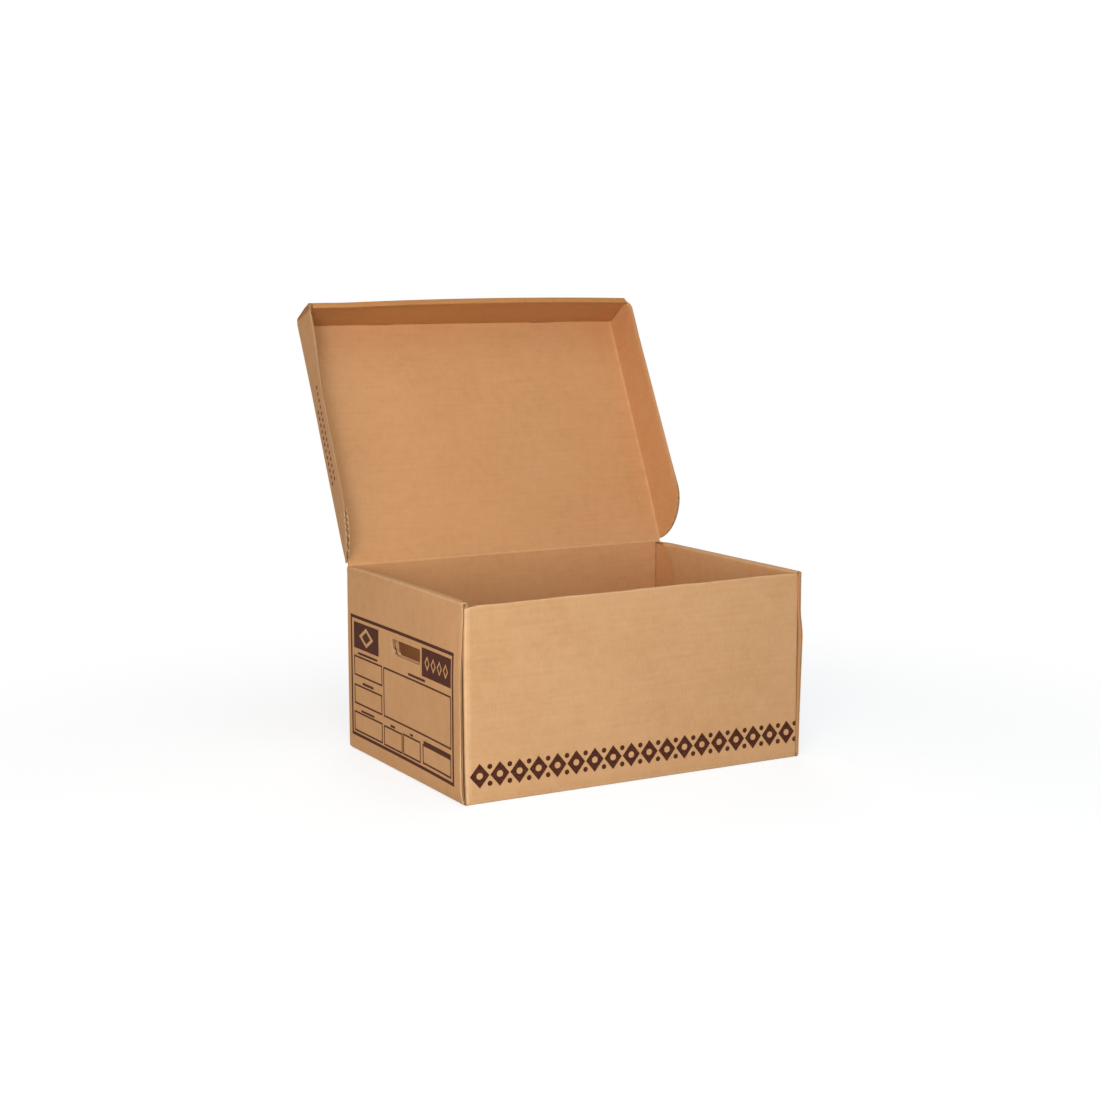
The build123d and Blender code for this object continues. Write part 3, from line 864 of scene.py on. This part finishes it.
sideMake = {"start": 2.6, "rearRound": 62.0, "frontRound": 9.0, "cornerLong": 15.0, "cornerIn": 8.0,
            "leftFlare": 6.3, "leftSpread": 7.2, "leftLong": 120.0, "flareFrom": 335.0,
            "rightFlare": -0.9, "rightSlope": 0.024, "mostFlare": 9.0,
            "inset": 2.1, "leftInset": 400.0, "rightInset": 70.0, "insetLong": 200.0,
            "crush": 0.2, "crushMore": 0.42, "wear": 0.35, "wearMore": 0.5, "wornFrom": 45, "wornLong": 60,
            "leftThin": 0.25, "rearThin": 0.28, "rearFrom": 200.0, "thinTo": 22.0,
            "splay": 0.92, "splayTo": 75.0, "splayFade": 30.0, "leftCrush": 0.62, "leftWear": 0.95,
            "leftReach": 1.4, "frayed": 5.0,
            "rearRows": (0.3, 1, 2.5, 5, 9, 15, 25, 40, 62), "frontRows": (15, 12, 9, 6.5, 5)}


def skirtFlare(side, u, v):     # the side skirts spread away from the front corners, the left one most
    make, away = sideMake, sideMake["flareFrom"] - u
    if side < 0:
        flare = make["leftFlare"] + make["leftSpread"] * ease(away / make["leftLong"])
    else:
        flare = np.clip(make["rightFlare"] + make["rightSlope"] * away, 0, make["mostFlare"])
    return flare * v / skirtMake["free"]


def skirtInset(side, u):        # and their folds close in on the box near the hinge
    first = sideMake["leftInset"] if side < 0 else sideMake["rightInset"]
    return sideMake["inset"] * ease((first - u) / min(first, sideMake["insetLong"]))


def sideEdge(b):        # free edge of a side skirt: quarter-round behind, small round in front
    rear, front = sideMake["rearRound"], sideMake["frontRound"]
    behind = np.clip(rear - (b - sideMake["start"]), 0, rear)
    before = np.clip(front - (sideHigh[1] - b), 0, front)
    return sideHigh[2] - rear + np.sqrt(rear ** 2 - behind ** 2) - front + np.sqrt(front ** 2 - before ** 2)


def fromSideEdge(a, b):     # distance from the free edge, round its rear end
    rear = sideMake["rearRound"]
    into, below = sideMake["start"] + rear - b, a - (sideHigh[2] - rear)
    return np.where((into > 0) & (below > 0), rear - np.hypot(into, below), sideEdge(b) - a)


def worn(b):
    return ease((b - sideMake["wornFrom"]) / sideMake["wornLong"])


def splayed(b):
    return ease((sideMake["splayTo"] - b) / sideMake["splayFade"])


sidePanel = {"a": (sideLow[2], sideEdge), "b": (sideMake["start"], sideHigh[1]), "folds": ("aLow", "bHigh"),
             "cuts": [towardsHigh], "raw": fromSideEdge,
             "stops": [sideMake["start"] + d for d in sideMake["rearRows"]]
             + [sideHigh[1] - d for d in sideMake["frontRows"]],
             "crush": lambda a, b: sideMake["crush"] + sideMake["crushMore"] * worn(b),
             "cutWear": lambda a, b: sideMake["wear"] + sideMake["wearMore"] * worn(b)}

# the left one's raw edge has swollen round its rear end, and its flutes stand open there
leftSidePanel = {**sidePanel, "cutWear": sideMake["leftWear"],
                 "crush": lambda a, b: sideMake["leftCrush"] - sideMake["splay"] * splayed(b),
                 "cutReach": lambda a, b: sideMake["leftReach"] + sideMake["frayed"] * splayed(b)}


def sidePlace(side):
    make, straight = sideMake, {**sidePanel, "a": (sideLow[2], sideHigh[2])}

    def place(a, b, n):
        v, u, depth, wear = roundFolds(a, b, n, straight)
        corner = make["cornerIn"] * unit((u - sideHigh[1]) / make["cornerLong"] + 1) ** 2
        if side < 0:        # handled thin, most of all behind, but not where it has swollen
            thin = make["leftThin"] + make["rearThin"] * ease(1 - u / make["rearFrom"])
            thin = thin * (1 - ease(v / make["thinTo"]) * splayed(u))
            depth = depth + thin * (boardMake["thick"] - depth)
        x = sideHigh[0] - depth - skirtInset(side, u) + skirtFlare(side, u, v)
        return standLid(side * (x - corner * unit(v / skirtMake["free"])), u, v), wear
    return place


lidTabMake = {"taper": 10.0, "behind": 0.3, "pinch": 0.75}


def makeLidTab(side, name, node):
    long, taper = tabHigh[0] - tabLow[0], lidTabMake["taper"]

    def cutBack(b):
        return np.clip(b - (long - taper), 0, taper)

    def place(a, b, n):
        x = side * (tabHigh[0] - b)
        u = tabHigh[1] - lidTabMake["behind"] - lidTabMake["pinch"] * n + skirtTilt(x, a)
        return standLid(x, u, a), 0 * a

    panel = {"a": (lambda b: tabLow[2] + cutBack(b), lambda b: tabHigh[2] - cutBack(b)), "b": (0.0, long),
             "stops": (long - taper,), "cuts": [4]}
    return boardPanel(name, panel, place, node, "lid")


makeLidPanel()
boardPanel("lidFrontSkirt", frontSkirtPanel, frontSkirtPlace, "lid_front_skirt", "lid")
makeLidRoll()
makeLidInner()
for side, word, panel in ((-1, "Left", leftSidePanel), (1, "Right", sidePanel)):
    boardPanel("lid" + word + "Skirt", panel, sidePlace(side), "lid_" + word.lower() + "_skirt", "lid")
    makeLidTab(side, "lid" + word + "Tab", "lid_" + word.lower() + "_tab")
print("lid boards made")


# scored hinge: the board is pinched thin along it and bent to the angle the lid stands at

creaseMake = {"outside": ((-4.7, 2.0), (-3.4, 1.95), (-2.2, 1.6), (-1.1, 1.15), (0, 0.95),
                          (1.1, 1.15), (2.2, 1.6), (3.4, 1.95), (4.7, 2.0)),
              "inside": ((2.4, -2.0), (1.6, -1.75), (0.8, -1.2), (0, -0.9),
                         (-0.8, -1.2), (-1.6, -1.75), (-2.4, -2.0)),
              "half": 248.8, "columns": 40, "start": -2.3, "end": 2.3,
              "wear": 0.5, "wearEnds": 20, "wearWide": 3.2}
lean = lidAngle - pi / 2


def makeCrease():
    loop = np.array(creaseMake["outside"] + creaseMake["inside"])
    along, out = loop.T
    half, columns, count = creaseMake["half"], creaseMake["columns"], len(loop)
    turn = ease((along - creaseMake["start"]) / (creaseMake["end"] - creaseMake["start"])) * lean
    y = hingeY + out * np.cos(turn) + along * np.sin(turn)
    z = hingeZ - out * np.sin(turn) + along * np.cos(turn)
    places = np.linspace(-half, half, columns + 1)
    points = np.array([(x, y[k], z[k]) for x in places for k in range(count)])
    flat = np.array([(x, along[k], out[k]) for x in places for k in range(count)])
    ends = np.clip((half - np.abs(places)) / creaseMake["wearEnds"], 0, creaseMake["wear"])
    wear = np.outer(ends, unit(1 - np.abs(along) / creaseMake["wearWide"])).ravel()
    quads = [(c * count + k, c * count + (k + 1) % count, (c + 1) * count + (k + 1) % count, (c + 1) * count + k)
             for c in range(columns) for k in range(count)]
    caps = [(k, k + 1, count - 2 - k, count - 1 - k) for k in range(count // 2 - 1)]      # both ends closed
    quads += [cap[::-1] for cap in caps] + [tuple(columns * count + k for k in cap) for cap in caps]
    return dressed("lidHingeCrease", [(flat, np.array(quads), points, wear)], (insideLiner,))


crease = makeCrease()
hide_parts("lid_hinge_crease")
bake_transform(crease)
print("hinge crease made")


# print: ink lies on the liner and follows its bow

inkMake = {"proud": 0.07, "sunk": 0.1, "step": 5.0, "hair": 0.02, "tip": 0.05}


def inkSlab(rows, edges, cuts, kept=None):
    kept = np.ones((len(rows) - 1, len(cuts)), bool) if kept is None else kept
    return slab(rows, edges, cuts, kept, -inkMake["proud"], inkMake["sunk"])


def inkBlock(aLow, aHigh, bLow, bHigh):
    rows = divided([bLow, bHigh], inkMake["step"], 1)
    columns = max(1, int(np.ceil((aHigh - aLow) / inkMake["step"])))
    return inkSlab(rows, [np.full(rows.shape, float(a)) for a in (aLow, aHigh)], [columns])


def joined(blocks):
    starts = np.cumsum([0] + [len(flat) for flat, _ in blocks])
    faces = [faces + start for (_, faces), start in zip(blocks, starts)]
    return np.concatenate([flat for flat, _ in blocks]), np.concatenate(faces)


def inkRow(motif, count, start, spacing):
    start, spacing = (tuple(s * mm for s in place) for place in (start, spacing))
    return grown(motifRow, *motif, {"Count": count, "Start": start, "Spacing": spacing, "Ink": ink})


def inkPiece(name, blocks, place, body):
    flat, faces = joined(blocks)
    points, wear = place(*flat.T)
    piece = dressed(name, [(flat, faces, points, 0 * wear)], (ink,))
    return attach(piece, body)


# ruled form on the left end, in Y and Z: frame, fields with short bars, two dark headings with pale lozenges
formMake = {"frame": (-156.7, 164, 21.1, 187.4), "frameLine": 4.4, "line": 2.5,
            "fields": ((62.6, 154, 104.8, 132.7), (64, 154.4, 65.6, 93.1), (63.8, 156, 27.6, 55.6),
                       (-149.4, 59, 65.6, 132.6), (1, 59.2, 27.2, 54.6), (-55.2, -1, 27.6, 55.8),
                       (-148.4, -61.7, 29, 54.8)),
            "bars": ((78, 140.7, 135, 138.2), (91.6, 127, 95, 98.4), (90.3, 132.6, 56.8, 59.8),
                     (-71.4, -19.5, 135.1, 138.4), (24, 38, 55.9, 59.2), (-32.5, -22.8, 57, 60),
                     (-148, -64.6, 54.8, 59.4)),
            "headings": ({"box": (73.2, 153.6, 142.8, 178.6), "count": 1, "pitch": 0, "wide": 46, "tall": 27},
                         {"box": (-149.6, -62, 142.2, 178.8), "count": 4, "pitch": 18.5, "wide": 15, "tall": 19}),
            "core": 0.6, "slopeRows": 21}


def outlined(y0, y1, z0, z1, line):
    return [(z0, z0 + line, y0, y1), (z1 - line, z1, y0, y1),
            (z0 + line, z1 - line, y0, y0 + line), (z0 + line, z1 - line, y1 - line, y1)]


def headingBlock(make):
    y0, y1, z0, z1 = make["box"]
    middle, half, wide, core = (z0 + z1) / 2, make["tall"] / 2, make["wide"] / 2, formMake["core"]
    centres = (y0 + y1) / 2 + make["pitch"] * (np.arange(make["count"]) - (make["count"] - 1) / 2)
    slopes = [c + wide * np.linspace(-1, 1, formMake["slopeRows"]) for c in centres]
    rows = np.unique(np.concatenate([(y0, y1), *slopes]).round(6))
    away = np.abs(rows[:, None] - centres).min(1) / wide
    ring, heart = half * unit(1 - away) + 2 * inkMake["hair"], half * unit(core - away) + inkMake["hair"]
    edges = [z0 + 0 * rows, middle - ring, middle - heart, middle + heart, middle + ring, z1 + 0 * rows]
    between = np.abs((rows[1:] + rows[:-1])[:, None] / 2 - centres).min(1) / wide
    solid, inked = between > 1, np.ones(len(between), bool)
    kept = np.stack([inked, solid, solid | (between < core), solid, inked], 1)
    return inkSlab(rows, edges, [2, 1, 1, 1, 2], kept)


def makeForm():
    shapes = outlined(*formMake["frame"], formMake["frameLine"])
    for field in formMake["fields"]:
        shapes += outlined(*field, formMake["line"])
    shapes += [(z0, z1, y0, y1) for y0, y1, z0, z1 in formMake["bars"]]
    blocks = [inkBlock(*shape) for shape in shapes] + [headingBlock(heading) for heading in formMake["headings"]]
    return inkPiece("endFormPrint", blocks, endPlace(-1), "box")


# band along the foot of the front: broad lozenges with a pale eye, pairs of dots between them
bandMake = {"height": 35.3, "tall": 31.0, "wide": 25.6, "eye": 4.2, "dot": 3.3, "dotRise": 10.5, "count": 18,
            "pitch": 26.9, "first": -228.6, "slopeRows": 9, "roundRows": 13}


def makeBand():
    half, eye, dot, middle = bandMake["tall"] / 2, bandMake["eye"], bandMake["dot"], bandMake["pitch"] / 2
    slope, turn = bandMake["slopeRows"], bandMake["roundRows"]
    rows = np.concatenate([np.linspace(-half, -eye, slope), np.linspace(-eye, eye, turn)[1:],
                           np.linspace(eye, half, slope)[1:]])
    width = bandMake["wide"] / 2 * (1 - np.abs(rows) / half) + inkMake["tip"]
    gap = np.sqrt(np.clip(eye ** 2 - rows ** 2, 0, None))
    closed = np.abs(rows[1:] + rows[:-1]) / 2 > eye
    inked = np.ones(len(closed), bool)
    motif = [inkSlab(rows, [-width, -gap, gap, width], [2, 1, 2], np.stack([inked, closed, inked], 1))]
    rows = -dot * np.cos(np.linspace(0, pi, turn))
    width = np.sqrt(np.clip(dot ** 2 - rows ** 2, 0, None)) + inkMake["hair"]
    for rise in (-bandMake["dotRise"], bandMake["dotRise"]):
        motif.append(inkSlab(rows + rise, [middle - width, middle + width], [4]))
    start, spacing = (bandMake["first"], bandMake["height"], 0), (bandMake["pitch"], 0, 0)
    row = inkRow(joined(motif), bandMake["count"], start, spacing)
    return inkPiece("frontBandPrint", [row], frontPlace, "box")


# two rows of small lozenges along the lid's left skirt: height over the fold, first place, count
skirtRowMake = {"rows": ((38.0, 111.0, 15), (20.0, 110.0, 12)), "long": 6.6, "wide": 9.0, "pitch": 9.4}


def makeSkirtRows():
    half = skirtRowMake["long"] / 2
    rows = np.linspace(-half, half, 5)
    width = skirtRowMake["wide"] / 2 * (1 - np.abs(rows) / half) + inkMake["tip"]
    motif = inkSlab(rows, [-width, width], [1])
    blocks = [inkRow(motif, count, (high, first, 0), (0, skirtRowMake["pitch"], 0))
              for high, first, count in skirtRowMake["rows"]]
    return inkPiece("lidSkirtPrint", blocks, sidePlace(-1), "lid")


makeForm()
makeBand()
makeSkirtRows()
print("print laid on")


# floor, world and light

studio = {"ambient": 0.49, "overhead": 0.4, "fillTone": "#ffebd4", "floorTone": "#bcbbb9", "glowTone": "#f3f9ff",
          "white": "#ffffff", "floorGlow": 0.71, "whiteFrom": 0.42, "whiteTo": 1.1, "half": 30,
          "aim": (0, 0, 0.28)}
lamps = {"softKey": {"place": (-1.35, -2.1, 0.8), "size": 1.3, "watts": 46.5, "tone": (0.9, 0.99, 1)},
         "warmSide": {"place": (-2.0, -1.5, 0.8), "size": 1.3, "watts": 12.0, "tone": (1, 0.42, 0.06)},
         "softTop": {"place": (0, -0.6, 2.6), "size": 1.3, "watts": 9.2, "tone": (0.78, 0.92, 1)},
         "softBack": {"place": (1.1, 2.3, 1.0), "size": 1.6, "watts": 18.0, "tone": (1, 0.97, 0.92)}}


def seenRays(add):     # rays that show a surface rather than light with it
    rays = add("ShaderNodeLightPath").outputs
    seen = rays["Is Camera Ray"]
    for kind in ("Is Glossy Ray", "Is Transmission Ray"):
        seen = add("ShaderNodeMath", {0: seen, 1: rays[kind]}, operation="MAXIMUM")
    return seen


# Matt white paper sweep: shown brighter than it lights, and plain white further off
def sweepPaper():
    material, add = newMaterial("whitePaperSweep")
    seen = seenRays(add)
    glow = add("ShaderNodeMath", {0: seen, 1: studio["floorGlow"]}, operation="MULTIPLY")
    matt = add("ShaderNodeBsdfDiffuse", {"Color": linear(studio["floorTone"])})
    light = add("ShaderNodeEmission", {"Color": linear(studio["glowTone"]), "Strength": glow})
    near = add("ShaderNodeAddShader", {0: matt, 1: light})
    white = add("ShaderNodeEmission", {"Color": linear(studio["white"]), "Strength": 1})
    place = add("ShaderNodeTexCoord").outputs["Object"]
    away = add("ShaderNodeVectorMath", {0: place}, operation="LENGTH").outputs["Value"]
    fade = {"Value": away, "From Min": studio["whiteFrom"], "From Max": studio["whiteTo"]}
    far = add("ShaderNodeMapRange", fade, interpolation_type="SMOOTHSTEP")
    far = add("ShaderNodeMath", {0: far, 1: seen}, operation="MULTIPLY")
    both = add("ShaderNodeMixShader", {0: far, 1: near, 2: white})
    add("ShaderNodeOutputMaterial", {"Surface": both})
    return material


def makeFloorSweep():
    half = studio["half"]
    mesh = bpy.data.meshes.new("studioFloor")
    mesh.from_pydata([(-half, -half, 0), (half, -half, 0), (half, half, 0), (-half, half, 0)], [], [(0, 1, 2, 3)])
    mesh.materials.append(sweepPaper())
    linked("studioFloor", mesh)


def makeWorld():
    world = bpy.data.worlds.new("studioWorld")
    bpy.context.scene.world = world
    world.use_nodes = True
    world.node_tree.nodes.clear()
    add = partial(addNode, world.node_tree)
    toward = add("ShaderNodeTexCoord").outputs["Generated"]
    upward = add("ShaderNodeSeparateXYZ", {0: toward}).outputs["Z"]
    dimmer = {"Value": upward, "To Min": studio["ambient"], "To Max": studio["ambient"] * studio["overhead"]}
    dimmer = add("ShaderNodeMapRange", dimmer)
    soft = add("ShaderNodeBackground", {"Color": linear(studio["fillTone"]), "Strength": dimmer})
    white = add("ShaderNodeBackground", {"Color": linear(studio["white"]), "Strength": 1})
    mixed = add("ShaderNodeMixShader", {0: seenRays(add), 1: soft, 2: white})
    add("ShaderNodeOutputWorld", {"Surface": mixed})


def addLamp(name, make):
    lamp = bpy.data.lights.new(name, "AREA")
    lamp.shape = "SQUARE"
    lamp.size, lamp.energy, lamp.color = make["size"], make["watts"], make["tone"]
    stand = linked(name, lamp)
    stand.location = make["place"]
    stand.rotation_euler = (Vector(studio["aim"]) - stand.location).to_track_quat("-Z", "Y").to_euler()


makeFloorSweep()
makeWorld()
for name, make in lamps.items():
    addLamp(name, make)
print("studio set")
